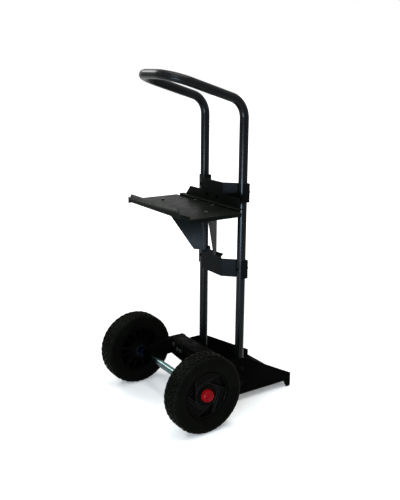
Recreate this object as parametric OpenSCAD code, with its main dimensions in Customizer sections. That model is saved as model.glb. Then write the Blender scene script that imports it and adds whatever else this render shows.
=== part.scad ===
// Two-wheeled cart for a pair of small gas bottles: a bent tube frame with a
// handle loop, two folded bottle cradles, a shelf on splayed gussets, a toe
// plate between side plates, and two plastic-rimmed wheels on a plain axle.
// +X is the right-hand side, -Y is the handle and wheel side, +Y the bottle
// side, +Z up. Inside the modules Y = 0 is the plane of the uprights.

/* [Frame tube] */
// Distance between the centres of the uprights
upright_spacing = 212.4; // [190:0.2:240]
// Outside diameter of the frame tube
tube_d = 28.6; // [24:0.2:34]
// Wall of the frame tube
tube_wall = 2; // [1:0.25:4]
// Height at which the upright and handle arm centre lines cross
arm_corner_z = 980.4; // [900:0.1:1100]
// Rise of the handle arms above level, in degrees
arm_rise = 17.3; // [5:0.1:35]
// Centre-line radius of the bend at the top of each upright
shoulder_r = 66; // [45:1:80]
// Length of the handle arms, from that corner to the cross bar's centre line
handle_length = 271; // [240:1:360]
// Centre-line radius of the handle's two corners
handle_corner_r = 76; // [45:1:94]

/* [Base] */
// Thickness of the side plates
side_t = 3; // [2:0.5:5]
// Height of the top edge of the base
base_top_z = 153.3; // [130:0.1:180]
// Height of the side plates' lower edge above the floor
side_bottom_z = 24; // [18:0.1:34]
// Distance from the uprights to the front edge of the toe
toe_reach = 214; // [180:0.1:260]
// Height of the side plates at their front edge
toe_tip_z = 48.9; // [42:0.1:70]
// Where the side plates' top edge begins to slope down, in front of the uprights
slope_start_y = 12.2; // [8:0.1:40]
// Distance from the uprights back to the rear of the base
base_rear = 46; // [42:0.5:60]
// Thickness of the toe plate
toe_t = 3; // [2:0.5:5]
// Height of the toe plate's top face
toe_top_z = 31; // [24:0.5:40]
// Width of each foot at its sole
foot_w = 12; // [8:1:20]
// Width of each foot at its root
foot_root_w = 30; // [22:1:40]

/* [Wheels and axle] */
// Outside diameter of the tyres
tyre_d = 249; // [220:1:280]
// Width of the tyres
tyre_w = 68; // [45:1:70]
// Diameter of the rim where the tyre seats
rim_d = 152; // [130:1:170]
// How far the rim's face lies inside the tyre's outer face
rim_recess = 15; // [8:1:20]
// Thickness of the rim's disc
disc_t = 12; // [10:1:16]
// Depth of the three swept pockets in the disc
pocket_depth = 8; // [3:1:8]
// Distance between the outer faces of the two tyres
track_out = 494; // [476:1:520]
// Distance from the uprights back to the axle
axle_back = 214.3; // [195:0.1:240]
// Diameter of the axle
axle_d = 24; // [16:0.5:28]
// Radial running clearance of the wheel bushes on the axle
bush_gap = 0.05; // [0.02:0.01:0.1]
// Diameter of the hub cap
cap_d = 41; // [40:0.5:48]

/* [Cross beam and axle brackets] */
// Depth of the cross beam from rear flange to front flange
beam_depth = 58; // [45:1:80]
// Height of the cross beam's flanges
beam_h = 54; // [40:1:62]
// Sheet of the cross beam and of the axle brackets
beam_t = 3; // [2:0.5:5]
// Clearance between each bracket's top flange and the tyre
bracket_clear = 8; // [6:1:30]
// Width of the turned-out top flange of each bracket
bracket_flange_w = 24; // [14:1:30]
// How far each bracket's foot reaches in along the beam
bracket_foot_w = 78; // [66:1:100]

/* [Cradles] */
// Height of each cradle band
cradle_h = 59; // [40:1:80]
// Height of the lower edge of the upper cradle above the shelf
cradle_over_shelf = 14; // [8:0.5:20]
// Height of the lower edge of the lower cradle
lower_cradle_z = 426.7; // [380:0.1:460]
// Sheet of the cradles
cradle_t = 2.5; // [2:0.5:4]
// Half width of the middle flat
cradle_flat = 57; // [45:1:60]
// How far the middle flat lies behind the uprights
cradle_back = 43; // [38:1:45]
// Reach of the outer leg of each saddle past the tube's centre, towards the handle
saddle_leg = 10.5; // [4:0.5:14]
// Height of the tab above the lower cradle that carries the gussets
tab_h = 15.5; // [12:0.5:30]

/* [Shelf] */
// Height of the shelf's top face
shelf_z = 660; // [640:0.5:690]
// Width of the shelf
shelf_w = 372; // [350:1:430]
// Distance from the uprights to the shelf's front edge
shelf_front = 260; // [230:1:290]
// Sheet of the shelf and gussets
shelf_t = 2.5; // [1.5:0.5:4]
// Width of the tall part of the front lip, at its base
lip_w = 304; // [280:1:330]
// Height of the tall part of the front lip above the shelf
lip_h = 25; // [20:1:50]
// Height of the lips across the two front corners
corner_lip_h = 12; // [6:1:18]
// How far the front corners are cut back along the sides
corner_cut = 12; // [8:1:30]
// Depth of the turned-down side flanges
side_flange_h = 12; // [6:1:20]
// Height of the raised ledge along the shelf's rear edge
ledge_h = 7; // [5:0.5:12]
// Width of that ledge
ledge_w = 332; // [310:1:350]
// Distance from the uprights to the ledge's front face
ledge_front = 62; // [54:1:80]
// Height of the rear flange, above the shelf, that is bolted to the cradle
back_flange_h = 36; // [30:1:50]
// Width of the rear flange along its top edge, if both ends were cut alike
back_flange_w = 250; // [200:1:290]
// Reach of the rear flange's top edge on the right-hand side, where its end is cut square
back_flange_right = 149; // [110:1:152]

/* [Gussets] */
// Half distance between the gussets at their back edge
gusset_x = 34; // [28:0.5:40]
// Length of the gussets' lower edge
gusset_bottom_len = 37; // [30:1:70]
// Length of the gussets' top edge
gusset_top_len = 154; // [120:1:165]
// Width of the gussets' top flange
gusset_flange_w = 18; // [16:1:24]

/* [Hidden] */
$fn = 96;
eps = 0.01;
seat = 0.2;             // gap left between plates that are bolted face to face
half_gap = upright_spacing / 2;
tube_r = tube_d / 2;
lap = 0.5;              // how far a straight run of tube laps over a bend
bend_step = 0.1;        // how much thinner a bend is drawn, in radius
wheel_r = tyre_d / 2;
axle_z = wheel_r;

// Whole part: its box is centred on the origin in Y
rear_reach = max(handle_length * cos(arm_rise) + tube_r, axle_back + tyre_d / 2);
centre_shift = (rear_reach - toe_reach) / 2;

// Bolts: radius, width across flats, and height of head and of nut
m8_r = 4;
m8_flats = 13;
m8_head = 5.3;
m8_nut = 6.5;
m6_r = 3;
m6_flats = 10;
m6_head = 4;
m6_nut = 5;
bolt_gap = 0.25;        // radial clearance of a bolt in its hole
bolt_past = 11;         // how far a bolt runs on past the plates it clamps
washer_plate = 1.2;     // thickness of a nut's washer

// Base
side_in = half_gap + tube_r + seat;      // inner face of a side plate
side_out = side_in + side_t;
tube_foot_z = toe_top_z - toe_t;         // the uprights stand in notches in the toe plate
foot_bolt_rise = 35;    // lower bolt above the toe plate
foot_bolt_drop = 37.3;  // upper bolt below the base's top edge
foot_bolt_z = [toe_top_z + foot_bolt_rise, base_top_z - foot_bolt_drop];

// Wheels
wheel_out = track_out / 2;
wheel_in = wheel_out - tyre_w;
hub_set_in = 13;        // hub's outer end, inside the tyre's outer face
hub_short = 1;          // hub's inner end, inside the tyre's inner face
hub_out = wheel_out - hub_set_in;
hub_in = wheel_in + hub_short;
hub_r = 31;
rim_lip = 4;            // wall of the rim's outer ring
arm_root_r = 37;        // circle that the swept arms leave at a tangent
pocket_edge = [32, 76]; // where a pocket's two edges touch that circle, in degrees
bush_r = 17;
bush_l = 22;
bush_flange_r = 18.2;
bush_flange_t = 2;
washer_r = 16.8;
washer_t = 2;
cap_wall = 1.6;
spacer_r = axle_d / 2 + 2;
pin_r = 1.6;
pin_eye_r = 1.8 * pin_r;
pin_x = hub_out + bush_flange_t + washer_t + pin_eye_r + 0.2;
axle_end = pin_x + pin_r + 2.6;

// Cross beam, behind the base
beam_rear = base_rear + seat;
beam_front = beam_rear + beam_depth;
beam_z = base_top_z - beam_h;
bracket_in = wheel_in - bracket_clear - bracket_flange_w;   // inner face of a bracket
beam_len = 2 * (bracket_in + bracket_flange_w);
beam_bolt_in = 26.2;    // beam's outer bolts, inside the uprights' centres
beam_bolt_x = [-1, 0, 1] * (half_gap - beam_bolt_in);
bracket_bolt_in = [17, 43, 60];         // from the bracket's arm
bracket_bolt_drop = [14.3, 24.3, 24.3]; // from the beam's top
bracket_bolts = [
    for (i = [0 : 2]) [bracket_in - bracket_bolt_in[i], base_top_z - bracket_bolt_drop[i]]
];
bracket_end_r = axle_d / 2 + 6;
bracket_taper = 40;     // length over which the arm narrows to its end
bracket_foot_drop = 7;  // how far the foot's inner end reaches below the beam

// Cradles
upper_cradle_z = shelf_z + cradle_over_shelf;
saddle_in = half_gap - tube_r - seat;    // inner leg's outer face
saddle_back = tube_r + seat;             // web's inner face
saddle_out = half_gap + tube_r + seat;
wing_end = cradle_back - saddle_in + cradle_flat;
cradle_mid = cradle_h / 2;

// Shelf
gusset_bolt_end = 14;   // outer bolt's distance from the gusset's tip
shelf_half = shelf_w / 2;
shelf_rear = cradle_back + seat;         // rear face of the back flange
shelf_low = shelf_z - shelf_t;
lip_half = lip_w / 2;
corner_y = shelf_front - corner_cut;
back_bolt_x = 30;
back_bolt_z = (upper_cradle_z + shelf_z + back_flange_h) / 2;
tab_top = lower_cradle_z + cradle_h + tab_h;
gusset_z = tab_top - 6;
gusset_top = shelf_low - seat;
ear_w = 21;             // ear that bolts each gusset to the lower cradle's tab
ear_h = 15;
tab_bolt_x = gusset_x + 12;
tab_bolt_z = tab_top - 5;
gusset_bolt_u = [gusset_flange_w + 12, gusset_top_len - gusset_bolt_end];   // along the gusset
gusset_bolt_v = gusset_flange_w / 2;

// ---------- helpers ----------

// Turns local x, y into row Y, Z, with local z along X
module in_yz() { rotate([90, 0, 90]) children(); }

module both_sides() { children(); mirror([1, 0, 0]) children(); }

// Unit vector from a to b
function unit(a, b) = (b - a) / norm(b - a);

// Points of a rounded corner at b, between a and c, offset sideways by d
function bend_points(a, b, c, r, d, n = 6) =
    let (u = unit(a, b), v = unit(b, c),
         turn = atan2(u.x * v.y - u.y * v.x, u.x * v.x + u.y * v.y),
         side = turn > 0 ? 1 : -1,
         start = b - u * r * tan(abs(turn) / 2),
         centre = start + side * r * [-u.y, u.x],
         rr = r - side * d)
    [for (i = [0 : n])
        let (a0 = atan2(start.y - centre.y, start.x - centre.x) + turn * i / n)
        centre + rr * [cos(a0), sin(a0)]];

// One side of a bent strip, d to the left of the path
function side_points(p, r, d) = concat(
    [p[0] + d * [-unit(p[0], p[1]).y, unit(p[0], p[1]).x]],
    [for (i = [1 : len(p) - 2]) each bend_points(p[i - 1], p[i], p[i + 1], r, d)],
    [let (u = unit(p[len(p) - 2], p[len(p) - 1])) p[len(p) - 1] + d * [-u.y, u.x]]);

function reversed(v) = [for (i = [len(v) - 1 : -1 : 0]) v[i]];

// Section of a bent sheet of thickness t, centred on the path p, bend radius r
module bent_section(p, t, r) {
    polygon(concat(side_points(p, r, t / 2), reversed(side_points(p, r, -t / 2))));
}

// Hexagon head or nut along +Z, across flats af
module hexagon(af, h) { cylinder(h = h, r = af / 2 / cos(30), $fn = 6); }

// Bolt along -Z from the face it clamps, head above
module hex_bolt(r, grip, af, head) {
    hexagon(af, head);
    translate([0, 0, -grip]) cylinder(h = grip + eps, r = r);
}

// Nut with its washer, along -Z from the face it clamps, bored clear of the thread
module hex_nut(r, af, h) {
    difference() {
        union() {
            translate([0, 0, -washer_plate]) cylinder(h = washer_plate, r = af * 0.62);
            translate([0, 0, -washer_plate - h]) hexagon(af, h);
        }
        translate([0, 0, -3 - h]) cylinder(h = h + 4, r = r + 0.05);
    }
}

// ---------- frame ----------

module arm_plane() {
    translate([0, 0, arm_corner_z]) rotate([180 - arm_rise, 0, 0]) children();
}

// The bends are drawn a hair thinner than the straight runs, which lap over their ends
module tube_path(r, over) {
    turn = 90 - arm_rise;
    tangent = shoulder_r * tan(turn / 2);
    bend_z = arm_corner_z - tangent;
    arm_len = handle_length - handle_corner_r - tangent;
    for (s = [-1, 1]) translate([s * half_gap, 0, 0]) {
        translate([0, 0, tube_foot_z - over])
            cylinder(h = bend_z - tube_foot_z + over + lap, r = r);
        translate([0, -shoulder_r, bend_z])
            in_yz() rotate_extrude(angle = turn) translate([shoulder_r, 0]) circle(r - bend_step);
    }
    arm_plane() {
        for (s = [-1, 1]) translate([s * half_gap, tangent - lap, 0]) rotate([-90, 0, 0])
            cylinder(h = arm_len + 2 * lap, r = r);
        for (s = [0, 1]) mirror([s, 0, 0])
            translate([half_gap - handle_corner_r, handle_length - handle_corner_r, 0])
                rotate_extrude(angle = 90) translate([handle_corner_r, 0]) circle(r - bend_step);
        translate([handle_corner_r - half_gap - lap, handle_length, 0]) rotate([0, 90, 0])
            cylinder(h = upright_spacing - 2 * handle_corner_r + 2 * lap, r = r);
    }
}

module frame_tube() {
    color("#20222a") difference() {
        tube_path(tube_r, 0);
        tube_path(tube_r - tube_wall, 1);
        for (z = foot_bolt_z) translate([0, 0, z]) both_sides()
            translate([half_gap, 0, 0]) rotate([0, 90, 0])
                cylinder(h = tube_d + 2, r = m8_r + bolt_gap, center = true);
        for (z = [upper_cradle_z, lower_cradle_z]) translate([0, 0, z + cradle_mid])
            both_sides() translate([half_gap, 0, 0]) rotate([90, 0, 0])
                cylinder(h = tube_d + 2, r = m6_r + bolt_gap, center = true);
    }
}

// ---------- base ----------

module side_outline() {
    polygon([
        [-base_rear, side_bottom_z], [-base_rear, base_top_z], [slope_start_y, base_top_z],
        [toe_reach, toe_tip_z], [toe_reach, 5], [toe_reach - 1.5, 1.5], [toe_reach - 4, 0],
        [toe_reach - 4 - foot_w, 0], [toe_reach - foot_root_w, side_bottom_z]
    ]);
}

module side_plate() {
    color("#1a1b1c") difference() {
        translate([side_in, 0, 0]) in_yz() linear_extrude(side_t) side_outline();
        for (z = foot_bolt_z) translate([side_in - 1, 0, z]) rotate([0, 90, 0])
            cylinder(h = side_t + 2, r = m8_r + bolt_gap);
    }
}

module toe_plate() {
    // folded from one sheet: rear wall, floor and front lip
    front = toe_reach - 1;
    half = side_in - seat;
    path = [
        [-base_rear + toe_t / 2, base_top_z - 1.5],
        [-base_rear + toe_t / 2, toe_top_z - toe_t / 2],
        [front - toe_t / 2, toe_top_z - toe_t / 2],
        [front - toe_t / 2, 7]
    ];
    color("#191a1b") difference() {
        translate([-half, 0, 0]) in_yz()
            linear_extrude(2 * half) bent_section(path, toe_t, toe_t);
        for (x = beam_bolt_x) translate([x, -base_rear - 1, beam_z + beam_h / 2])
            rotate([-90, 0, 0]) cylinder(h = toe_t + 2, r = m8_r + bolt_gap);
        // notches that the uprights stand in
        both_sides() translate([half_gap - tube_r - seat, -tube_r - seat, toe_top_z - toe_t - 1])
            cube([tube_d + 1, tube_d + 2 * seat, toe_t + 2]);
    }
}

module foot_bolts() {
    // low round heads outside the side plates
    color("#1c1c1e") both_sides() for (z = foot_bolt_z) translate([side_out, 0, z])
        rotate([0, 90, 0]) {
            cylinder(h = m8_r * 0.65, r1 = m8_r * 2.25, r2 = m8_r * 1.5);
            translate([0, 0, -side_t - tube_d - bolt_past])
                cylinder(h = side_t + tube_d + bolt_past + eps, r = m8_r);
        }
}

module foot_nuts() {
    color("#1c1c1e") both_sides() for (z = foot_bolt_z)
        translate([half_gap - tube_r, 0, z]) rotate([0, 90, 0])
            hex_nut(m8_r, m8_flats, m8_nut);
}

module cross_beam() {
    path = [
        [-beam_rear - beam_t / 2, beam_z],
        [-beam_rear - beam_t / 2, base_top_z - beam_t / 2],
        [-beam_front + beam_t / 2, base_top_z - beam_t / 2],
        [-beam_front + beam_t / 2, beam_z]
    ];
    color("#33362f") difference() {
        union() {
            translate([-bracket_in - beam_t - seat, 0, 0]) in_yz()
                linear_extrude(2 * (bracket_in + beam_t + seat))
                    bent_section(path, beam_t, beam_t * 1.2);
            translate([-beam_len / 2, -beam_front + beam_t * 2, base_top_z - beam_t])
                cube([beam_len, beam_depth - beam_t * 4, beam_t]);
            both_sides() translate([bracket_in + beam_t, -beam_front, base_top_z - beam_t])
                cube([beam_len / 2 - bracket_in - beam_t, beam_depth, beam_t]);
        }
        for (b = bracket_bolts) both_sides() translate([b.x, -beam_front - 1, b.y])
            rotate([-90, 0, 0]) cylinder(h = beam_t + 2, r = m8_r + bolt_gap);
        for (x = beam_bolt_x) translate([x, -beam_rear - beam_t - 1, beam_z + beam_h / 2])
            rotate([-90, 0, 0]) cylinder(h = beam_t + 2, r = m8_r + bolt_gap);
    }
}

module beam_bolts() {
    color("#9a9c9c") for (x = beam_bolt_x)
        translate([x, -beam_rear - beam_t, beam_z + beam_h / 2])
            rotate([90, 0, 0]) hex_bolt(m8_r, beam_t + toe_t + bolt_past, m8_flats, m8_head);
}

module beam_nuts() {
    color("#9a9c9c") for (x = beam_bolt_x)
        translate([x, -base_rear + toe_t, beam_z + beam_h / 2])
            rotate([90, 0, 0]) hex_nut(m8_r, m8_flats, m8_nut);
}

// Plate that carries the axle: an arm whose end is notched round the axle and
// welded to it, a turned-out top flange, and a foot on the beam's front flange
module axle_bracket() {
    arm_y = -beam_front - seat;
    taper_y = -axle_back + bracket_taper;
    color("#26282a") difference() {
        union() {
            translate([bracket_in, 0, 0]) in_yz() linear_extrude(beam_t) polygon([
                [arm_y, beam_z], [taper_y, beam_z], [-axle_back, axle_z - bracket_end_r],
                [-axle_back, axle_z + bracket_end_r], [taper_y, base_top_z], [arm_y, base_top_z]
            ]);
            translate([bracket_in, taper_y, base_top_z - beam_t])
                cube([bracket_flange_w, arm_y - taper_y, beam_t]);
            translate([bracket_in - bracket_foot_w + beam_t, arm_y, 0])
                rotate([90, 0, 0]) linear_extrude(beam_t) polygon([
                    [0, beam_z - bracket_foot_drop], [bracket_foot_w, beam_z],
                    [bracket_foot_w, base_top_z], [0, base_top_z]
                ]);
        }
        translate([bracket_in - 1, -axle_back, axle_z]) rotate([0, 90, 0])
            cylinder(h = beam_t + 2, r = axle_d / 2 + 0.1);
        for (b = bracket_bolts) translate([b.x, arm_y - beam_t - 1, b.y])
            rotate([-90, 0, 0]) cylinder(h = beam_t + 2, r = m8_r + bolt_gap);
    }
}

module axle_bracket_bolts() {
    color("#c4c6c6") both_sides() for (b = bracket_bolts)
        translate([b.x, -beam_front - seat - beam_t, b.y])
            rotate([90, 0, 0]) hex_bolt(m8_r, 2 * beam_t + seat + bolt_past, m8_flats, m8_head);
}

module bracket_nuts() {
    color("#c4c6c6") both_sides() for (b = bracket_bolts)
        translate([b.x, -beam_front + beam_t, b.y]) rotate([90, 0, 0]) hex_nut(m8_r, m8_flats, m8_nut);
}

// ---------- axle and wheels ----------

module on_axle() { translate([0, -axle_back, axle_z]) rotate([0, 90, 0]) children(); }

module axle() {
    color("#c9d2d0") on_axle() difference() {
        translate([0, 0, -axle_end]) cylinder(h = 2 * axle_end, r = axle_d / 2);
        for (s = [-1, 1]) translate([0, 0, s * pin_x]) rotate([90, 0, 0])
            cylinder(h = axle_d + 2, r = pin_r + 0.15, center = true);
    }
}

module ring(r_out, r_in, h) {
    difference() {
        cylinder(h = h, r = r_out);
        translate([0, 0, -1]) cylinder(h = h + 2, r = r_in);
    }
}

module axle_spacers() {
    start = bracket_in + beam_t + 0.1;
    color("#b9bfbe") both_sides() on_axle() translate([0, 0, start])
        ring(spacer_r, axle_d / 2 + 0.1, hub_in - bush_flange_t - start - 0.3);
}

module axle_washers() {
    color("#b9bfbe") both_sides() on_axle() translate([0, 0, hub_out + bush_flange_t + 0.3])
        ring(washer_r, axle_d / 2 + 0.1, washer_t - 0.4);
}

module split_pins() {
    color("#b9bfbe") both_sides() on_axle() translate([0, 0, pin_x]) rotate([90, 0, 0]) {
        cylinder(h = axle_d + 9, r = pin_r, center = true);
        translate([0, 0, axle_d / 2 + 0.6 * pin_r]) cylinder(h = 1.6 * pin_r, r = pin_eye_r);
    }
}

// Section of the tyre, x = radius and y = place across its width
module tyre_section() {
    w = tyre_w / 2;
    h = wheel_r - rim_d / 2;
    side = [
        [0, 0.62], [0.06, 0.78], [0.22, 0.9], [0.47, 0.985], [0.7, 1], [0.83, 0.985],
        [0.9, 0.9], [0.955, 0.74], [0.99, 0.58], [1, 0.44]
    ];
    difference() {
        polygon([
            for (p = side) [rim_d / 2 + h * p.x, -w * p.y],
            for (p = reversed(side)) [rim_d / 2 + h * p.x, w * p.y]
        ]);
        for (y = [-0.5, -0.17, 0.17, 0.5]) translate([wheel_r - 0.08 * h, w * (y - 0.04)])
            square([0.2 * h, 0.08 * w]);
    }
}

module tyre() {
    color("#1f201d") on_axle() translate([0, 0, wheel_out - tyre_w / 2])
        rotate_extrude() tyre_section();
}

// Swept pocket in the rim's face, between two lines tangent to the hub's ring
module rim_pocket() {
    far = rim_d;
    edge = [for (a = pocket_edge) [cos(a), sin(a)] * arm_root_r];
    run = [for (a = pocket_edge) [sin(a), -cos(a)] * far];
    difference() {
        intersection() {
            circle(rim_d / 2 - rim_lip);
            polygon([edge[0], edge[0] + run[0], edge[1] + run[1], edge[1]]);
        }
        circle(arm_root_r + 2);
    }
}

// Rim: an outer ring, a disc with three swept pockets, a hub and inner ribs
module rim() {
    ring_r = rim_d / 2 - 0.3;
    half = tyre_w / 2;
    mid = wheel_out - half;
    face = wheel_out - rim_recess;
    color("#232323") on_axle() difference() {
        union() {
            translate([0, 0, mid]) rotate_extrude() polygon([
                [ring_r - rim_lip, 6 - half], [ring_r - 1, 6 - half], [ring_r, 9 - half],
                [ring_r, half - 9], [ring_r - 1, half - 6], [ring_r - rim_lip + 1, half - 6],
                [ring_r - rim_lip, half - 8]
            ]);
            translate([0, 0, face - disc_t]) ring(ring_r - 1, hub_r - 1, disc_t);
            translate([0, 0, hub_in]) cylinder(h = hub_out - hub_in, r = hub_r);
            for (k = [0 : 5]) rotate([0, 0, 60 * k + 15]) translate([hub_r - 2, -2, hub_in + 5])
                cube([ring_r - hub_r - 1, 4, face - disc_t - hub_in]);
        }
        for (k = [0 : 2]) rotate([0, 0, 120 * k]) translate([0, 0, face - pocket_depth])
            linear_extrude(pocket_depth + 1) rim_pocket();
        translate([0, 0, hub_in - 1]) cylinder(h = hub_out - hub_in + 2, r = bush_r + 0.02);
    }
}

module bushes() {
    inner = axle_d / 2 + bush_gap;
    color("#8b8f8c") on_axle() {
        translate([0, 0, hub_in]) ring(bush_r, inner, bush_l);
        translate([0, 0, hub_in - bush_flange_t]) ring(bush_flange_r, inner, bush_flange_t);
        translate([0, 0, hub_out - bush_l]) ring(bush_r, inner, bush_l);
        translate([0, 0, hub_out]) ring(bush_flange_r, inner, bush_flange_t);
    }
}

// Domed cap, pressed over the hub's end
module hub_cap() {
    r = cap_d / 2;
    base = hub_out + 0.05;
    top = axle_end - base + 1.2;
    color("#e0173a") on_axle() translate([0, 0, base]) rotate_extrude() polygon([
        [r - cap_wall, 0], [r, 0], [r, 2], [r - 0.6, top - 4], [r - 2.6, top - 1],
        [r - 6, top + 0.8], [r * 0.42, top + cap_wall + 0.6], [0, top + cap_wall + 1.2],
        [0, top + 1], [r * 0.42, top + 0.4], [r - 6.6, top - 0.8], [r - cap_wall - 2.2, top - 2.4],
        [r - cap_wall - 0.2, top - 5]
    ]);
}

// ---------- cradles ----------

function cradle_path(s) = [
    [s * (saddle_out + cradle_t / 2), -saddle_leg],
    [s * (saddle_out + cradle_t / 2), saddle_back + cradle_t / 2],
    [s * (saddle_in - cradle_t / 2), saddle_back + cradle_t / 2],
    [s * (saddle_in - cradle_t / 2), -wing_end],
    [s * cradle_flat, -cradle_back + cradle_t / 2]
];

module cradle_band() {
    left = cradle_path(-1);
    bent_section(concat(left, reversed(cradle_path(1))), cradle_t, cradle_t * 1.1);
}

module saddle_holes(z) {
    translate([0, 0, z]) both_sides() translate([half_gap, saddle_back - 1, 0])
        rotate([-90, 0, 0]) cylinder(h = cradle_t + 2, r = m6_r + bolt_gap);
}

module upper_cradle() {
    color("#25282e") difference() {
        translate([0, 0, upper_cradle_z]) linear_extrude(cradle_h) cradle_band();
        saddle_holes(upper_cradle_z + cradle_mid);
        both_sides() translate([back_bolt_x, -cradle_back - 1, back_bolt_z])
            rotate([-90, 0, 0]) cylinder(h = cradle_t + 2, r = m6_r + bolt_gap);
    }
}

module lower_cradle() {
    tab_half = cradle_flat - 2;
    color("#25282e") difference() {
        union() {
            translate([0, 0, lower_cradle_z]) linear_extrude(cradle_h) cradle_band();
            translate([0, -cradle_back + cradle_t, lower_cradle_z + cradle_h - 1])
                rotate([90, 0, 0]) linear_extrude(cradle_t) polygon([
                    [-tab_half, 0], [-tab_half, tab_h - 3], [-tab_half + 4, tab_h + 1],
                    [tab_half - 4, tab_h + 1], [tab_half, tab_h - 3], [tab_half, 0]
                ]);
        }
        saddle_holes(lower_cradle_z + cradle_mid);
        both_sides() translate([tab_bolt_x, -cradle_back - 1, tab_bolt_z])
            rotate([-90, 0, 0]) cylinder(h = cradle_t + 2, r = m6_r + bolt_gap);
    }
}

module cradle_bolts() {
    color("#1c1c1e") both_sides() for (z = [upper_cradle_z, lower_cradle_z])
        translate([half_gap, -tube_r, z + cradle_mid]) rotate([90, 0, 0])
            hex_bolt(m6_r, tube_d + cradle_t + bolt_past, m6_flats, m6_head);
}

module cradle_nuts() {
    color("#1c1c1e") both_sides() for (z = [upper_cradle_z, lower_cradle_z])
        translate([half_gap, saddle_back + cradle_t, z + cradle_mid]) rotate([90, 0, 0])
            hex_nut(m6_r, m6_flats, m6_nut);
}

// ---------- shelf ----------

module shelf_outline() {
    polygon([
        [-shelf_half, -ledge_front], [-shelf_half, -corner_y], [-lip_half, -shelf_front],
        [lip_half, -shelf_front], [shelf_half, -corner_y], [shelf_half, -ledge_front]
    ]);
}

// The same outline inside its lips; it runs past the sides, which have none
module shelf_inside() {
    lean = corner_cut / (shelf_half - lip_half);
    step = shelf_t * sqrt(1 + lean * lean);
    lip_x = shelf_half - (corner_cut - shelf_t + step) / lean;
    side_y = corner_y - lean - step;
    polygon([
        [-shelf_half - 1, -ledge_front], [-shelf_half - 1, -side_y],
        [-lip_x, shelf_t - shelf_front], [lip_x, shelf_t - shelf_front],
        [shelf_half + 1, -side_y], [shelf_half + 1, -ledge_front]
    ]);
}

// Front view of the lips: low over the cut corners, tall between them
module lip_profile() {
    tall = shelf_z + lip_h;
    low = shelf_z + corner_lip_h;
    polygon([
        [-shelf_half - 1, shelf_low - 1], [-shelf_half - 1, low - 3],
        [-lip_half, low], [-lip_half + 0.4 * lip_h, tall],
        [lip_half - 0.4 * lip_h, tall], [lip_half, low],
        [shelf_half + 1, low - 3], [shelf_half + 1, shelf_low - 1]
    ]);
}

module gusset_holes() {
    both_sides() for (u = gusset_bolt_u) on_gusset() translate([u, gusset_bolt_v, shelf_low - 1])
        cylinder(h = shelf_t + 2, r = m6_r + bolt_gap);
}

module shelf_tray() {
    ledge_z = shelf_z + ledge_h;
    back_base = back_flange_w / 2 + back_flange_h - ledge_h;
    color("#4a4f47") difference() {
        union() {
            translate([0, 0, shelf_low]) linear_extrude(shelf_t) shelf_outline();
            // front lip and the lower lips across the corners
            intersection() {
                translate([0, 0, shelf_low]) linear_extrude(shelf_t + lip_h + 1) difference() {
                    shelf_outline();
                    shelf_inside();
                }
                rotate([90, 0, 0]) linear_extrude(shelf_front + 1) lip_profile();
            }
            // turned-down sides
            both_sides() translate([shelf_half - shelf_t, -corner_y, shelf_z - side_flange_h])
                cube([shelf_t, corner_y - ledge_front, side_flange_h]);
            // raised ledge along the rear, and the flange bolted to the upper cradle
            translate([-ledge_w / 2, -ledge_front, shelf_low])
                cube([ledge_w, shelf_t, ledge_h + shelf_t]);
            translate([-ledge_w / 2, -ledge_front, ledge_z - shelf_t])
                cube([ledge_w, ledge_front - shelf_rear, shelf_t]);
            translate([0, -shelf_rear, 0]) rotate([90, 0, 0]) linear_extrude(shelf_t) polygon([
                [-back_base, ledge_z - shelf_t], [-back_flange_w / 2, shelf_z + back_flange_h],
                [back_flange_right, shelf_z + back_flange_h], [back_base, ledge_z - shelf_t]
            ]);
        }
        gusset_holes();
        both_sides() translate([back_bolt_x, -shelf_rear - 2 * shelf_t, back_bolt_z])
            rotate([-90, 0, 0]) cylinder(h = 3 * shelf_t, r = m6_r + bolt_gap);
    }
}

// Local x runs out along the gusset at 45 degrees, local y towards the centre
module on_gusset() {
    translate([gusset_x, -cradle_back - seat - shelf_t, 0]) rotate([0, 0, -45])
        mirror([0, 1, 0]) children();
}

module gusset() {
    color("#3a4054") difference() {
        union() {
            on_gusset() {
                // web
                translate([0, shelf_t, 0]) rotate([90, 0, 0]) linear_extrude(shelf_t) polygon([
                    [-shelf_t, gusset_z], [gusset_bottom_len, gusset_z],
                    [gusset_top_len, gusset_top], [-shelf_t, gusset_top]
                ]);
                // top flange, turned in under the shelf
                translate([0, 0, gusset_top - shelf_t]) linear_extrude(shelf_t) polygon([
                    [gusset_flange_w, 0], [gusset_top_len, 0],
                    [gusset_top_len - 8, gusset_flange_w], [gusset_flange_w + 4, gusset_flange_w]
                ]);
            }
            // ear that is bolted to the lower cradle's tab
            translate([gusset_x - 1.5, -cradle_back - seat, tab_bolt_z - ear_h / 2])
                rotate([90, 0, 0]) linear_extrude(shelf_t) polygon([
                    [0, 0], [ear_w - 2, 0], [ear_w, 2], [ear_w, ear_h - 2], [ear_w - 2, ear_h],
                    [0, ear_h]
                ]);
        }
        translate([tab_bolt_x, -cradle_back - seat - shelf_t - 1, tab_bolt_z]) rotate([-90, 0, 0])
            cylinder(h = shelf_t + 2, r = m6_r + bolt_gap);
        for (u = gusset_bolt_u) on_gusset() translate([u, gusset_bolt_v, gusset_top - shelf_t - 1])
            cylinder(h = shelf_t + 2, r = m6_r + bolt_gap);
    }
}

module shelf_bolts() {
    color("#c4c6c6") both_sides() for (u = gusset_bolt_u)
        on_gusset() translate([u, gusset_bolt_v, shelf_z])
            hex_bolt(m6_r, 2 * shelf_t + seat + bolt_past, m6_flats, m6_head);
}

module shelf_nuts() {
    color("#c4c6c6") both_sides() for (u = gusset_bolt_u)
        on_gusset() translate([u, gusset_bolt_v, gusset_top - shelf_t]) hex_nut(m6_r, m6_flats, m6_nut);
}

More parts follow.
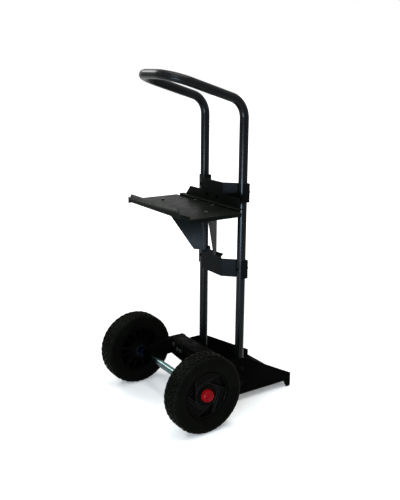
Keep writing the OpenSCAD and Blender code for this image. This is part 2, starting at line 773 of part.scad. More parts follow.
module back_bolts() {
    color("#1c1c1e") both_sides() {
        translate([back_bolt_x, -shelf_rear - shelf_t, back_bolt_z]) rotate([90, 0, 0])
            hex_bolt(m6_r, shelf_t + seat + cradle_t + bolt_past, m6_flats, m6_head);
        translate([tab_bolt_x, -cradle_back - seat - shelf_t, tab_bolt_z]) rotate([90, 0, 0])
            hex_bolt(m6_r, shelf_t + seat + cradle_t + bolt_past, m6_flats, m6_head);
    }
}

module back_nuts() {
    color("#1c1c1e") both_sides() {
        translate([back_bolt_x, -cradle_back + cradle_t, back_bolt_z]) rotate([90, 0, 0])
            hex_nut(m6_r, m6_flats, m6_nut);
        translate([tab_bolt_x, -cradle_back + cradle_t, tab_bolt_z]) rotate([90, 0, 0])
            hex_nut(m6_r, m6_flats, m6_nut);
    }
}

// ---------- assembly ----------

module place() { translate([0, centre_shift, 0]) children(); }
module place_left() { place() mirror([1, 0, 0]) children(); }

place() frame_tube();
place() toe_plate();
place_left() side_plate();  // side_plate_left
place() side_plate();  // side_plate_right
place() foot_bolts();
place() foot_nuts();
place() cross_beam();
place() beam_bolts();
place() beam_nuts();
place_left() axle_bracket();  // axle_bracket_left
place() axle_bracket();  // axle_bracket_right
place() axle_bracket_bolts();  // bracket_bolts
place() bracket_nuts();
place() axle();
place() axle_spacers();
place() axle_washers();
place() split_pins();
place_left() tyre();  // tyre_left
place() tyre();  // tyre_right
place_left() rim();  // rim_left
place() rim();  // rim_right
place_left() bushes();  // bushes_left
place() bushes();  // bushes_right
place_left() hub_cap();  // hub_cap_left
place() hub_cap();  // hub_cap_right
place() upper_cradle();
place() lower_cradle();
place() cradle_bolts();
place() cradle_nuts();
place() shelf_tray();
place() shelf_bolts();
place() shelf_nuts();
place_left() gusset();  // gusset_left
place() gusset();  // gusset_right
place() back_bolts();
place() back_nuts();
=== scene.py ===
import bpy, bmesh
from math import radians, sin, cos, tan, pi, hypot
from mathutils import Vector, Matrix


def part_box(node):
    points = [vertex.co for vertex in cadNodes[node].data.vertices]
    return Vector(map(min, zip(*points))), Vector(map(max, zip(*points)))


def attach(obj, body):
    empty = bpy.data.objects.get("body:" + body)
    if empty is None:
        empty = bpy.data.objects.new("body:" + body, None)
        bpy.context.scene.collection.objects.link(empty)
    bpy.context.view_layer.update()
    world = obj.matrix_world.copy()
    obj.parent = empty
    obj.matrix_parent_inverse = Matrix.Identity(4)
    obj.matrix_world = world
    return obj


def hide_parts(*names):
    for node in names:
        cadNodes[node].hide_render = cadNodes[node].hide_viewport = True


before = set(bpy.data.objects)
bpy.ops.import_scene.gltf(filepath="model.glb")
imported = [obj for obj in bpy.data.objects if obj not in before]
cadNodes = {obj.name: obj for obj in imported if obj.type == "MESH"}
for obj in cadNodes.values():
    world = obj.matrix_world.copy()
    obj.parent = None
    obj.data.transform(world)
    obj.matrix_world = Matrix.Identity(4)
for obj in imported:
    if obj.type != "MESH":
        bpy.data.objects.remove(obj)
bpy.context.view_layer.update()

scene = bpy.context.scene

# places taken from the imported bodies, in metres
tubeRadius = 0.0143
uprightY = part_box("frame_tube")[1].y - tubeRadius
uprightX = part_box("frame_tube")[1].x - tubeRadius
axleLow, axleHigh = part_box("axle")
axleY, axleZ = (axleLow.y + axleHigh.y) / 2, (axleLow.z + axleHigh.z) / 2
tyreLow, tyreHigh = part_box("tyre_right")
tyreRadius = (tyreHigh.z - tyreLow.z) / 2
tyreWidth = tyreHigh.x - tyreLow.x

cameraSettings = {"place": (1.8124, -1.2268, 1.0867), "azimuth": 56.45, "elevation": 14.92,
                  "roll": 0.41, "lens": 49.96, "filmHeight": 36.0}


def addCamera(s):
    az, el, roll = (radians(s[k]) for k in ("azimuth", "elevation", "roll"))
    back = Vector((sin(az) * cos(el), -cos(az) * cos(el), sin(el)))
    right = Vector((cos(az), sin(az), 0))
    up = back.cross(right)
    tiltedRight = cos(roll) * right + sin(roll) * up
    tiltedUp = -sin(roll) * right + cos(roll) * up
    data = bpy.data.cameras.new("workshopCamera")
    data.lens = s["lens"]
    data.sensor_fit = "VERTICAL"
    data.sensor_height = s["filmHeight"]
    cam = bpy.data.objects.new("workshopCamera", data)
    turn = Matrix((tiltedRight, tiltedUp, back)).transposed().to_4x4()
    cam.matrix_world = Matrix.Translation(s["place"]) @ turn
    scene.collection.objects.link(cam)
    scene.camera = cam


addCamera(cameraSettings)


# A shader or geometry node with its inputs set or joined up
def addNode(tree, kind, inputs=None, **settings):
    node = tree.nodes.new(kind)
    for key, value in settings.items():
        setattr(node, key, value)
    for key, value in (inputs or {}).items():
        socket = node.inputs[key]
        if isinstance(value, bpy.types.NodeSocket):
            tree.links.new(value, socket)
        else:
            socket.default_value = value
    return node


def math(tree, operation, a, b=0.5):
    return addNode(tree, "ShaderNodeMath", {0: a, 1: b}, operation=operation).outputs[0]


def remap(tree, value, low, high, toLow=0.0, toHigh=1.0):
    return addNode(tree, "ShaderNodeMapRange", {"Value": value, "From Min": low, "From Max": high,
                                                "To Min": toLow, "To Max": toHigh}).outputs[0]


def blendColour(tree, factor, a, b):
    node = addNode(tree, "ShaderNodeMix", data_type="RGBA")
    for socket, value in ((node.inputs[0], factor), (node.inputs[6], a), (node.inputs[7], b)):
        if isinstance(value, bpy.types.NodeSocket):
            tree.links.new(value, socket)
        elif isinstance(value, float):
            socket.default_value = value
        else:
            socket.default_value = (*value, 1)
    return node.outputs[2]


def noise(tree, place, scale, detail=2.0, roughness=0.5):
    return addNode(tree, "ShaderNodeTexNoise", {"Vector": place, "Scale": scale, "Detail": detail,
                                                "Roughness": roughness}).outputs[0]


def grainBump(tree, height, strength, depth):
    return addNode(tree, "ShaderNodeBump", {"Height": height, "Strength": strength,
                                            "Distance": depth}).outputs[0]


def edgeMark(tree):
    return addNode(tree, "ShaderNodeAttribute", attribute_name="edge").outputs["Fac"]


def startMaterial(name):
    material = bpy.data.materials.new(name)
    material.use_nodes = True
    tree = material.node_tree
    tree.nodes.clear()
    shader = tree.nodes.new("ShaderNodeBsdfPrincipled")
    addNode(tree, "ShaderNodeOutputMaterial", {0: shader.outputs[0]})
    return material, tree, shader


def wire(tree, shader, links):
    for name, value in links.items():
        if isinstance(value, bpy.types.NodeSocket):
            tree.links.new(value, shader.inputs[name])
        else:
            shader.inputs[name].default_value = value


# Powder coat and moulded plastic: dark and light clouds of the colour, what shows where an
# edge is rubbed (on the rim's lips a painted glint), the dust that lies on top, then gloss and the
# size of the grain
finishes = {
    "blackFrameCoat": {"dark": (0.0015, 0.0018, 0.0021), "light": (0.0030, 0.0036, 0.0041),
                       "wearAndGlint": (0.030, 0.034, 0.035), "dust": (0.020, 0.024, 0.022), "dusty": 0.04,
                       "matt": 0.10, "roughness": 0.25, "spread": 0.05, "grain": 420,
                       "depth": 0.000005, "specular": 0.11},
    "blackSheetCoat": {"dark": (0.0014, 0.0017, 0.0018), "light": (0.0032, 0.0038, 0.0040),
                       "wearAndGlint": (0.014, 0.016, 0.016), "dust": (0.020, 0.022, 0.016), "dusty": 0.04,
                       "matt": 0.20, "roughness": 0.36, "spread": 0.08, "grain": 640,
                       "depth": 0.00006, "specular": 0.020},
    # the parts low down: the same black coat painted darker, painted shade
    "blackCoatPaintedShade": {"dark": (0.0006, 0.0007, 0.0005), "light": (0.0017, 0.0019, 0.0015),
                      "wearAndGlint": (0.012, 0.013, 0.011), "dust": (0.016, 0.017, 0.012), "dusty": 0.03,
                      "matt": 0.34, "roughness": 0.42, "spread": 0.10, "grain": 640,
                      "depth": 0.00006, "specular": 0.006},
    # the gussets: the black sheet coat painted lighter, a painted sheen
    "gussetCoatPaintedSheen": {"dark": (0.0024, 0.0030, 0.0030), "light": (0.0050, 0.0060, 0.0060),
                   "wearAndGlint": (0.014, 0.016, 0.016), "dust": (0.020, 0.022, 0.016), "dusty": 0.04,
                   "matt": 0.14, "roughness": 0.37, "spread": 0.06, "grain": 640,
                   "depth": 0.00005, "specular": 0.034},
    "shelfCoat": {"dark": (0.0018, 0.0023, 0.0017), "light": (0.0036, 0.0045, 0.0034),
                  "wearAndGlint": (0.014, 0.018, 0.014), "dust": (0.020, 0.026, 0.018), "dusty": 0.07,
                  "matt": 0.14, "roughness": 0.30, "spread": 0.05, "grain": 640,
                  "depth": 0.00005, "specular": 0.020},
    "blackBoltFinish": {"dark": (0.0012, 0.0013, 0.0012), "light": (0.0026, 0.0028, 0.0026),
                        "wearAndGlint": (0.02, 0.022, 0.022), "dust": (0.02, 0.02, 0.018), "dusty": 0.06,
                        "matt": 0.14, "roughness": 0.42, "spread": 0.12, "grain": 1500,
                        "depth": 0.00003, "specular": 0.014},
    "blackRimPlastic": {"dark": (0.0006, 0.0007, 0.0005), "light": (0.0014, 0.0015, 0.0011),
                        "wearAndGlint": (0.020, 0.020, 0.017), "dust": (0.018, 0.018, 0.014), "dusty": 0.04,
                        "matt": 0.14, "roughness": 0.32, "spread": 0.10, "grain": 900,
                        "depth": 0.00006, "specular": 0.018},
    # the rim's lips: its black plastic, glossier and painted a touch lighter, a painted glint
    "glossyRimLipPaintedGlint": {"dark": (0.0008, 0.0009, 0.0007), "light": (0.0016, 0.0017, 0.0013),
                       "wearAndGlint": (0.004, 0.004, 0.0035), "dust": (0.01, 0.01, 0.008), "dusty": 0.02,
                       "matt": 0.0, "roughness": 0.28, "spread": 0.06, "grain": 900,
                       "depth": 0.00003, "specular": 0.075},
}


coatPattern = {"cloudSize": 7.0, "smearSize": 38.0, "dustedFrom": 0.55, "dustedTo": 0.98,
               "rubbed": 0.75, "grainStrength": 0.55}


def coatedFinish(name, s):
    material, tree, shader = startMaterial(name)
    place = addNode(tree, "ShaderNodeTexCoord").outputs["Object"]
    pattern = coatPattern
    clouds = noise(tree, place, pattern["cloudSize"], 3.0)
    speckle = noise(tree, place, s["grain"], 2.0)
    smear = noise(tree, place, pattern["smearSize"], 4.0, 0.62)
    edge = edgeMark(tree)
    upward = addNode(tree, "ShaderNodeSeparateXYZ", {0: addNode(
        tree, "ShaderNodeNewGeometry").outputs["Normal"]}).outputs["Z"]
    colour = blendColour(tree, remap(tree, clouds, 0.35, 0.68), s["dark"], s["light"])
    facingUp = remap(tree, upward, pattern["dustedFrom"], pattern["dustedTo"])
    lying = math(tree, "MULTIPLY", facingUp, remap(tree, smear, 0.3, 0.75))
    colour = blendColour(tree, math(tree, "MULTIPLY", lying, s["dusty"]), colour, s["dust"])
    # edges marked as rubbed take the wear colour; the rim's lips are marked all over, so there it
    # is a painted glint
    rubbed = math(tree, "MULTIPLY", edge, remap(tree, smear, 0.50, 0.66))
    rubbed = math(tree, "MULTIPLY", rubbed, pattern["rubbed"])
    colour = blendColour(tree, rubbed, colour, s["wearAndGlint"])
    rough = remap(tree, smear, 0.3, 0.7, s["roughness"] - s["spread"] / 2,
                  s["roughness"] + s["spread"] / 2)
    rough = math(tree, "ADD", rough, math(tree, "MULTIPLY", lying, s["matt"]))
    bump = grainBump(tree, speckle, pattern["grainStrength"], s["depth"])
    wire(tree, shader, {"Base Color": colour, "Roughness": rough, "Normal": bump,
                        "Specular IOR Level": s["specular"]})
    return material


# plated steel: its two tints, how much its edges are rubbed bare and the scale of its drawn lines
bareMetal = (0.85, 0.87, 0.87)
zincSettings = {
    "zincAxle": {"colour": (0.076, 0.124, 0.117), "tint": (0.054, 0.088, 0.094), "rubbed": 0.35,
                 "roughness": 0.115, "scratch": (6.0, 900.0, 900.0)},
    # the spacers: bluish zinc painted near black, a painted dark reflection of the wheel beside
    # them
    "zincSpacersPaintedDarkReflection": {"colour": (0.010, 0.020, 0.070), "tint": (0.006, 0.012, 0.040), "rubbed": 0.0,
                    "roughness": 0.30, "scratch": (6.0, 900.0, 900.0)},
    "dullZincBolts": {"colour": (0.11, 0.12, 0.11), "tint": (0.07, 0.08, 0.075), "rubbed": 0.20,
                      "roughness": 0.34, "scratch": (240.0, 240.0, 240.0)},
    "zincBolts": {"colour": (0.36, 0.39, 0.37), "tint": (0.24, 0.26, 0.26), "rubbed": 0.35,
                  "roughness": 0.28, "scratch": (240.0, 240.0, 240.0)},
}


def zincFinish(name, s):
    material, tree, shader = startMaterial(name)
    place = addNode(tree, "ShaderNodeTexCoord").outputs["Object"]
    drawn = addNode(tree, "ShaderNodeMapping", {"Vector": place, "Scale": s["scratch"]}).outputs[0]
    lines = noise(tree, drawn, 1.0, 3.0)
    spangle = noise(tree, place, 60.0, 3.0)
    edge = edgeMark(tree)
    colour = blendColour(tree, remap(tree, spangle, 0.35, 0.65), s["colour"], s["tint"])
    rubbed = math(tree, "MULTIPLY", edge, s["rubbed"])
    colour = blendColour(tree, rubbed, colour, bareMetal)
    rough = remap(tree, lines, 0.25, 0.75, s["roughness"] - 0.05, s["roughness"] + 0.09)
    bump = grainBump(tree, lines, 0.25, 0.00003)
    wire(tree, shader, {"Base Color": colour, "Metallic": 1.0, "Roughness": rough, "Normal": bump})
    return material


rubberSettings = {"dark": (0.0007, 0.0008, 0.0005), "light": (0.0020, 0.0022, 0.0014),
                  "dust": (0.022, 0.023, 0.017), "roughness": 0.55, "specular": 0.016}


def rubberFinish(name, s):
    material, tree, shader = startMaterial(name)
    place = addNode(tree, "ShaderNodeTexCoord").outputs["Object"]
    clouds = noise(tree, place, 22.0, 4.0, 0.6)
    pores = noise(tree, place, 900.0, 2.0)
    edge = edgeMark(tree)
    colour = blendColour(tree, remap(tree, clouds, 0.3, 0.7), s["dark"], s["light"])
    scuffed = math(tree, "MULTIPLY", edge, remap(tree, clouds, 0.35, 0.65))
    colour = blendColour(tree, math(tree, "MULTIPLY", scuffed, 0.5), colour, s["dust"])
    rough = remap(tree, clouds, 0.3, 0.7, s["roughness"] - 0.08, s["roughness"] + 0.10)
    bump = grainBump(tree, pores, 0.5, 0.00012)
    wire(tree, shader, {"Base Color": colour, "Roughness": rough, "Normal": bump,
                        "Specular IOR Level": s["specular"]})
    return material


plasticSettings = {
    # the cap's lighter red is put on its rings: painted highlights
    "redCapPlastic": {"dark": (0.12, 0.0008, 0.0018), "light": (0.165, 0.0014, 0.0030),
                      "wearAndGlint": (0.42, 0.03, 0.05), "roughness": 0.22, "specular": 0.045},
    "blackBushNylon": {"dark": (0.003, 0.0034, 0.0042), "light": (0.006, 0.0068, 0.0080),
                       "wearAndGlint": (0.012, 0.013, 0.014), "roughness": 0.42, "specular": 0.06},
}


def plasticFinish(name, s):
    material, tree, shader = startMaterial(name)
    place = addNode(tree, "ShaderNodeTexCoord").outputs["Object"]
    clouds = noise(tree, place, 60.0, 3.0)
    grain = noise(tree, place, 1300.0, 2.0)
    edge = edgeMark(tree)
    colour = blendColour(tree, remap(tree, clouds, 0.35, 0.65), s["dark"], s["light"])
    # marked faces take the lighter colour: worn edges on the bushes, painted highlights on the
    # cap's rings
    colour = blendColour(tree, math(tree, "MULTIPLY", edge, 0.25), colour, s["wearAndGlint"])
    rough = remap(tree, clouds, 0.3, 0.7, s["roughness"] - 0.05, s["roughness"] + 0.07)
    bump = grainBump(tree, grain, 0.3, 0.00004)
    wire(tree, shader, {"Base Color": colour, "Roughness": rough, "Normal": bump,
                        "Specular IOR Level": s["specular"]})
    return material


coats = {name: coatedFinish(name, s) for name, s in finishes.items()}
coats.update({name: zincFinish(name, s) for name, s in zincSettings.items()})
coats.update({name: plasticFinish(name, s) for name, s in plasticSettings.items()})
coats["tyreRubber"] = rubberFinish("tyreRubber", rubberSettings)
print("finishes mixed:", len(coats))


def makeObject(name, mesh, finish):
    obj = bpy.data.objects.new(name, mesh)
    mesh.materials.clear()
    mesh.materials.append(coats[finish])
    scene.collection.objects.link(obj)
    return obj


def toMesh(bm, name, sharpAngle=38):
    mesh = bpy.data.meshes.new(name)
    for face in bm.faces:
        face.smooth = True
    bm.to_mesh(mesh)
    bm.free()
    mesh.set_sharp_from_angle(angle=radians(sharpAngle))
    return mesh


def freeze(obj):
    mesh = bpy.data.meshes.new_from_object(
        obj.evaluated_get(bpy.context.evaluated_depsgraph_get()))
    obj.modifiers.clear()
    obj.data = mesh
    return obj


def hang(obj, body, slot, *replaced):
    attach(obj, body)
    if replaced:
        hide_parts(*replaced)
    return obj


def mirrored(bm):
    bmesh.ops.transform(bm, matrix=Matrix.Diagonal((-1, 1, 1, 1)), verts=bm.verts)
    bmesh.ops.reverse_faces(bm, faces=bm.faces)


def markEdges(bm, faces):
    layer = bm.loops.layers.float.get("edge") or bm.loops.layers.float.new("edge")
    for face in faces:
        for loop in face.loops:
            loop[layer] = 1.0


def faceWidth(face, edge):
    return face.calc_area() / max(edge.calc_length(), 1e-6)


def roundEdges(bm, edges, width, segments):
    if not edges:
        return
    made = bmesh.ops.bevel(bm, geom=edges, offset=width, offset_type="OFFSET", segments=segments,
                           profile=0.5, affect="EDGES", clamp_overlap=True)
    markEdges(bm, made["faces"])


# Pressed folds and filed edges: how sharp a fold is at least, how narrow a face beside it may
# be, and how close two points are one
pressSettings = {"foldAngle": radians(50), "narrowest": 0.0045, "sameSpot": 2e-6,
                 "flatAngle": radians(0.4), "insideShare": 0.4}


def foldEdges(bm, convex):
    s = pressSettings
    return [e for e in bm.edges if len(e.link_faces) == 2 and e.is_convex == convex
            and e.calc_face_angle(0) > s["foldAngle"]
            and min(faceWidth(f, e) for f in e.link_faces) > s["narrowest"]]


# The CAD node's own shape with its folds and cut edges rounded as a press or a file leaves them
def softened(node, name, finish, edge=0.0005, fold=0.0, segments=2, sharpAngle=33):
    bm = bmesh.new()
    bm.from_mesh(cadNodes[node].data)
    s = pressSettings
    bmesh.ops.remove_doubles(bm, verts=bm.verts, dist=s["sameSpot"])
    bmesh.ops.dissolve_limit(bm, angle_limit=s["flatAngle"], verts=bm.verts, edges=bm.edges)
    bm.loops.layers.float.new("edge")
    if fold:
        roundEdges(bm, foldEdges(bm, True), fold, 3)
        roundEdges(bm, foldEdges(bm, False), fold * s["insideShare"], 2)
    sharp = [e for e in bm.edges if len(e.link_faces) == 2
             and e.calc_face_angle(0) > radians(sharpAngle)]
    roundEdges(bm, sharp, edge, segments)
    obj = makeObject(name, toMesh(bm, name, 50), finish)
    evenOut = obj.modifiers.new("evenOut", "WEIGHTED_NORMAL")
    evenOut.keep_sharp = True
    return freeze(obj)


# Points along a line through the corners, each rounded to its radius
def bentPath(corners, radii, step):
    points = [Vector(corners[0])]
    for i in range(1, len(corners) - 1):
        a, b, c = (Vector(p) for p in corners[i - 1:i + 2])
        u, v = (b - a).normalized(), (c - b).normalized()
        turn = u.angle(v)
        reach = radii[i - 1] * tan(turn / 2)
        start = b - u * reach
        inward = (v - u * v.dot(u)).normalized()
        centre = start + inward * radii[i - 1]
        count = max(2, round(turn / step))
        for k in range(count + 1):
            t = turn * k / count
            points.append(centre - inward * radii[i - 1] * cos(t) + u * radii[i - 1] * sin(t))
    points.append(Vector(corners[-1]))
    return points


# Rings round a path, carried along without twist
def sweepRings(bm, points, radius, sides, first):
    rings, side = [], Vector(first)
    for i, p in enumerate(points):
        ahead = (points[min(i + 1, len(points) - 1)] - points[max(i - 1, 0)]).normalized()
        side = (side - ahead * side.dot(ahead)).normalized()
        other = ahead.cross(side)
        rings.append([bm.verts.new(p + (side * cos(a) + other * sin(a)) * radius)
                      for a in (2 * pi * k / sides for k in range(sides))])
    return rings


def skin(bm, ringA, ringB):
    count = len(ringA)
    return [bm.faces.new((ringA[k], ringA[(k + 1) % count], ringB[(k + 1) % count], ringB[k]))
            for k in range(count)]


# A closed profile of (along the axle, radius) points, turned round the axle line
def turned(bm, profile, count):
    rings = []
    for k in range(count):
        a = 2 * pi * k / count
        rings.append([bm.verts.new((x, axleY + r * cos(a), axleZ + r * sin(a)))
                      for x, r in profile])
    faces = []
    for k in range(count):
        here, there = rings[k], rings[(k + 1) % count]
        for i in range(len(profile)):
            j = (i + 1) % len(profile)
            faces.append(bm.faces.new((here[i], here[j], there[j], there[i])))
    return faces


# The two trees that repeat one part start and end alike
def startTree(name, inputs):
    tree = bpy.data.node_groups.new(name, "GeometryNodeTree")
    tree.interface.new_socket("Geometry", in_out="INPUT", socket_type="NodeSocketGeometry")
    for label, kind in inputs:
        tree.interface.new_socket(label, in_out="INPUT", socket_type=kind)
    tree.interface.new_socket("Geometry", in_out="OUTPUT", socket_type="NodeSocketGeometry")
    return tree, tree.nodes.new("NodeGroupInput").outputs


def endTree(tree, copies, finish):
    real = addNode(tree, "GeometryNodeRealizeInstances", {0: copies}).outputs[0]
    dressed = addNode(tree, "GeometryNodeSetMaterial", {"Geometry": real, "Material": finish})
    addNode(tree, "NodeGroupOutput", {0: dressed.outputs[0]})
    return tree


# Copies of a part evenly round the axle line; the part is drawn at the top of the wheel
def ringTree():
    tree, given = startTree("copiesRoundAxle", [
        ("Part", "NodeSocketObject"), ("Finish", "NodeSocketMaterial"), ("Count", "NodeSocketInt"),
        ("Start Angle", "NodeSocketFloat"), ("Wobble", "NodeSocketFloat"),
        ("Axle Centre", "NodeSocketVector")])
    index = tree.nodes.new("GeometryNodeInputIndex").outputs[0]
    points = addNode(tree, "GeometryNodePoints", {"Count": given["Count"]}).outputs[0]
    share = math(tree, "DIVIDE", index, given["Count"])
    angle = math(tree, "ADD", math(tree, "MULTIPLY", share, 2 * pi), given["Start Angle"])
    chance = addNode(tree, "FunctionNodeRandomValue", {"Seed": 11}, data_type="FLOAT")
    offset = math(tree, "SUBTRACT", chance.outputs[1], 0.5)
    wobble = math(tree, "MULTIPLY", offset, given["Wobble"])
    fullAngle = math(tree, "ADD", angle, wobble)
    turn = addNode(tree, "ShaderNodeCombineXYZ", {"X": fullAngle}).outputs[0]
    part = addNode(tree, "GeometryNodeObjectInfo", {"Object": given["Part"], "As Instance": True})
    copies = addNode(tree, "GeometryNodeInstanceOnPoints", {
        "Points": points, "Instance": part.outputs["Geometry"], "Rotation": turn}).outputs[0]
    moved = addNode(tree, "GeometryNodeTransform", {
        "Geometry": copies, "Translation": given["Axle Centre"]}).outputs[0]
    return endTree(tree, moved, given["Finish"])


# A fastener on every point, its own +Z along the point's facing, turned at random about it
def fastenerTree():
    tree, given = startTree("fastenersOnPoints", [
        ("Part", "NodeSocketObject"), ("Finish", "NodeSocketMaterial"), ("Spin", "NodeSocketFloat"),
        ("Seed", "NodeSocketInt")])
    facing = addNode(tree, "GeometryNodeInputNamedAttribute", {"Name": "facing"},
                     data_type="FLOAT_VECTOR").outputs[0]
    aligned = addNode(tree, "FunctionNodeAlignRotationToVector", {"Vector": facing},
                      axis="Z").outputs[0]
    chance = addNode(tree, "FunctionNodeRandomValue", {"Seed": given["Seed"]},
                     data_type="FLOAT").outputs[1]
    spin = addNode(tree, "FunctionNodeAxisAngleToRotation", {
        "Axis": (0, 0, 1), "Angle": math(tree, "MULTIPLY", chance, given["Spin"])}).outputs[0]
    turn = addNode(tree, "FunctionNodeRotateRotation", {0: aligned, 1: spin},
                   rotation_space="LOCAL").outputs[0]
    part = addNode(tree, "GeometryNodeObjectInfo", {"Object": given["Part"], "As Instance": True})
    points = addNode(tree, "GeometryNodeMeshToPoints", {"Mesh": given["Geometry"]}).outputs[0]
    copies = addNode(tree, "GeometryNodeInstanceOnPoints", {
        "Points": points, "Instance": part.outputs["Geometry"], "Rotation": turn}).outputs[0]
    return endTree(tree, copies, given["Finish"])


roundAxle, onPoints = ringTree(), fastenerTree()


def socketOf(tree, label):
    return next(i.identifier for i in tree.interface.items_tree
                if i.name == label and i.in_out == "INPUT")


def repeat(tree, name, finish, partMesh, values, base=None):
    part = bpy.data.objects.new(name + "Part", partMesh)
    scene.collection.objects.link(part)
    mesh = base or bpy.data.meshes.new(name)
    obj = makeObject(name, mesh, finish)
    modifier = obj.modifiers.new("copies", "NODES")
    modifier.node_group = tree
    modifier[socketOf(tree, "Part")] = part
    modifier[socketOf(tree, "Finish")] = coats[finish]
    for label, value in values.items():
        modifier[socketOf(tree, label)] = value
    freeze(obj)
    bpy.data.objects.remove(part)
    return obj


def joined(name, parts, finish):
    bm = bmesh.new()
    for part in parts:
        bm.from_mesh(part.data)
        bpy.data.objects.remove(part)
    return makeObject(name, toMesh(bm, name), finish)


tubeSettings = {"wall": 0.002, "footZ": 0.028, "cornerZ": 0.9804, "rise": radians(17.3),
                "reach": 0.271, "shoulder": 0.066, "handleCorner": 0.076, "sides": 48,
                "bendStep": radians(2.5)}


def buildTubeFrame(s):
    top = Vector((0, -s["reach"] * cos(s["rise"]), s["reach"] * sin(s["rise"])))
    left = [Vector((-uprightX, uprightY, s["footZ"])), Vector((-uprightX, uprightY, s["cornerZ"]))]
    left.append(left[1] + top)
    corners = left + [Vector((-p.x, p.y, p.z)) for p in reversed(left)]
    bends = [s["shoulder"], s["handleCorner"], s["handleCorner"], s["shoulder"]]
    points = bentPath(corners, bends, s["bendStep"])
    bm = bmesh.new()
    outer = sweepRings(bm, points, tubeRadius, s["sides"], (1, 0, 0))
    inner = sweepRings(bm, points, tubeRadius - s["wall"], s["sides"], (1, 0, 0))
    for rings in (outer, inner):
        for a, b in zip(rings, rings[1:]):
            skin(bm, a, b)
    for end in (0, -1):
        skin(bm, outer[end], inner[end])
    bmesh.ops.recalc_face_normals(bm, faces=bm.faces)
    obj = makeObject("bentTubeFrame", toMesh(bm, "bentTubeFrame"), "blackFrameCoat")
    hang(obj, "frame", "black_frame", "frame_tube")


buildTubeFrame(tubeSettings)
print("tube frame swept")

# node: piece, finish, rounding of the cut edges and of the folds
sheetPieces = {
    "toe_plate": ("toePlate", "blackCoatPaintedShade", 0.0006, 0.0024),
    "side_plate_left": ("sidePlateLeft", "blackCoatPaintedShade", 0.0006, 0),
    "side_plate_right": ("sidePlateRight", "blackCoatPaintedShade", 0.0006, 0),
    "cross_beam": ("crossBeam", "blackCoatPaintedShade", 0.0005, 0.0026),
    "axle_bracket_left": ("axleBracketLeft", "blackCoatPaintedShade", 0.0006, 0.0024),
    "axle_bracket_right": ("axleBracketRight", "blackCoatPaintedShade", 0.0006, 0.0024),
    "upper_cradle": ("upperCradle", "blackSheetCoat", 0.0006, 0),
    "lower_cradle": ("lowerCradle", "blackSheetCoat", 0.0006, 0),
    "shelf_tray": ("shelfTray", "shelfCoat", 0.0005, 0.0022),
    "gusset_left": ("gussetLeft", "gussetCoatPaintedSheen", 0.0005, 0.0020),
    "gusset_right": ("gussetRight", "gussetCoatPaintedSheen", 0.0005, 0.0020),
}
for node, (name, finish, edge, fold) in sheetPieces.items():
    hang(softened(node, name, finish, edge, fold), "frame", "black_sheet", node)
print("sheet pieces folded:", len(sheetPieces))

# node: piece, finish, rounding of the edges, slot and the body that it rides on
turnedPieces = {
    "axle": ("axleBar", "zincAxle", 0.0009, "zinc_axle", "frame"),
    "axle_spacers": ("axleSpacers", "zincSpacersPaintedDarkReflection", 0.0004, "zinc_fastener", "frame"),
    "axle_washers": ("axleWashers", "zincBolts", 0.0003, "zinc_fastener", "frame"),
    "split_pins": ("splitPins", "zincBolts", 0.0003, "zinc_fastener", "frame"),
    "bushes_left": ("bushesLeft", "blackBushNylon", 0.0003, "bush_plastic", "wheel_left"),
    "bushes_right": ("bushesRight", "blackBushNylon", 0.0003, "bush_plastic", "wheel_right"),
}
for node, (name, finish, edge, slot, body) in turnedPieces.items():
    hang(softened(node, name, finish, edge), body, slot, node)
print("axle pieces turned:", len(turnedPieces))

wheelSettings = {
    "rimRadius": 0.076, "carcassSides": 144, "treadCount": 39, "treadWobble": 0.004,
    # rows of blocks: place across, radius, tilt, size across, size round, height, skew and
    # how far the row is turned, as a share of the step between blocks
    "rows": [(0.0, 0.1244, 0, 0.0096, 0.0150, 0.0046, 20, 0.0),
             (0.0116, 0.1243, 0, 0.0092, 0.0146, 0.0046, -24, 0.5),
             (0.0240, 0.1228, 20, 0.0134, 0.0128, 0.0052, 14, 0.0),
             (0.0316, 0.1160, 62, 0.0110, 0.0098, 0.0036, 0, 0.5)],
    "blockDraft": 0.86, "blockEdge": 0.0007, "otherSideTurn": 0.25,
    # the tyre's side as shares of half its width and of its height above the rim
    "flank": [(0.70, -0.002), (0.80, 0.02), (0.87, 0.10), (0.925, 0.22), (0.975, 0.40),
              (0.986, 0.48), (0.998, 0.62), (0.99, 0.72), (0.955, 0.80), (0.87, 0.868),
              (0.74, 0.915), (0.55, 0.928), (0.3, 0.932), (0.0, 0.934)],
    # raised lines moulded in the side: radius and half width, then their height
    "lines": ((0.0845, 0.0022), (0.1065, 0.0016)), "lineHeight": 0.0009,
}


# A smooth line through the points, by the usual cubic between each two
def smoothLine(points, steps):
    out, last = [], len(points) - 1
    for i in range(last):
        near = (points[min(max(j, 0), last)] for j in range(i - 1, i + 3))
        p0, p1, p2, p3 = (Vector(p) for p in near)
        for k in range(steps):
            t = k / steps
            out.append(tuple(0.5 * (2 * p1 + (p2 - p0) * t + (2 * p0 - 5 * p1 + 4 * p2 - p3) * t * t
                                    + (3 * p1 - p0 - 3 * p2 + p3) * t ** 3)))
    out.append(tuple(points[-1]))
    return out


def treadBlock(row, s):
    across, radius, tilt, wide, long, high, skew, offset = row
    bm = bmesh.new()
    bmesh.ops.create_cube(bm, size=1)
    for v in bm.verts:
        draft = s["blockDraft"] if v.co.z > 0 else 1.0
        v.co = Vector((v.co.x * wide * draft, v.co.y * long * draft, (v.co.z - 0.5) * high))
    topEdges = [e for e in bm.edges if max(v.co.z for v in e.verts) > -high / 2]
    made = bmesh.ops.bevel(bm, geom=topEdges, offset=s["blockEdge"], segments=1, affect="EDGES")
    markEdges(bm, made["faces"])
    place = (Matrix.Translation((across, 0, radius)) @ Matrix.Rotation(radians(tilt), 4, "Y")
             @ Matrix.Rotation(radians(skew), 4, "Z"))
    bmesh.ops.transform(bm, matrix=place, verts=bm.verts)
    return bm


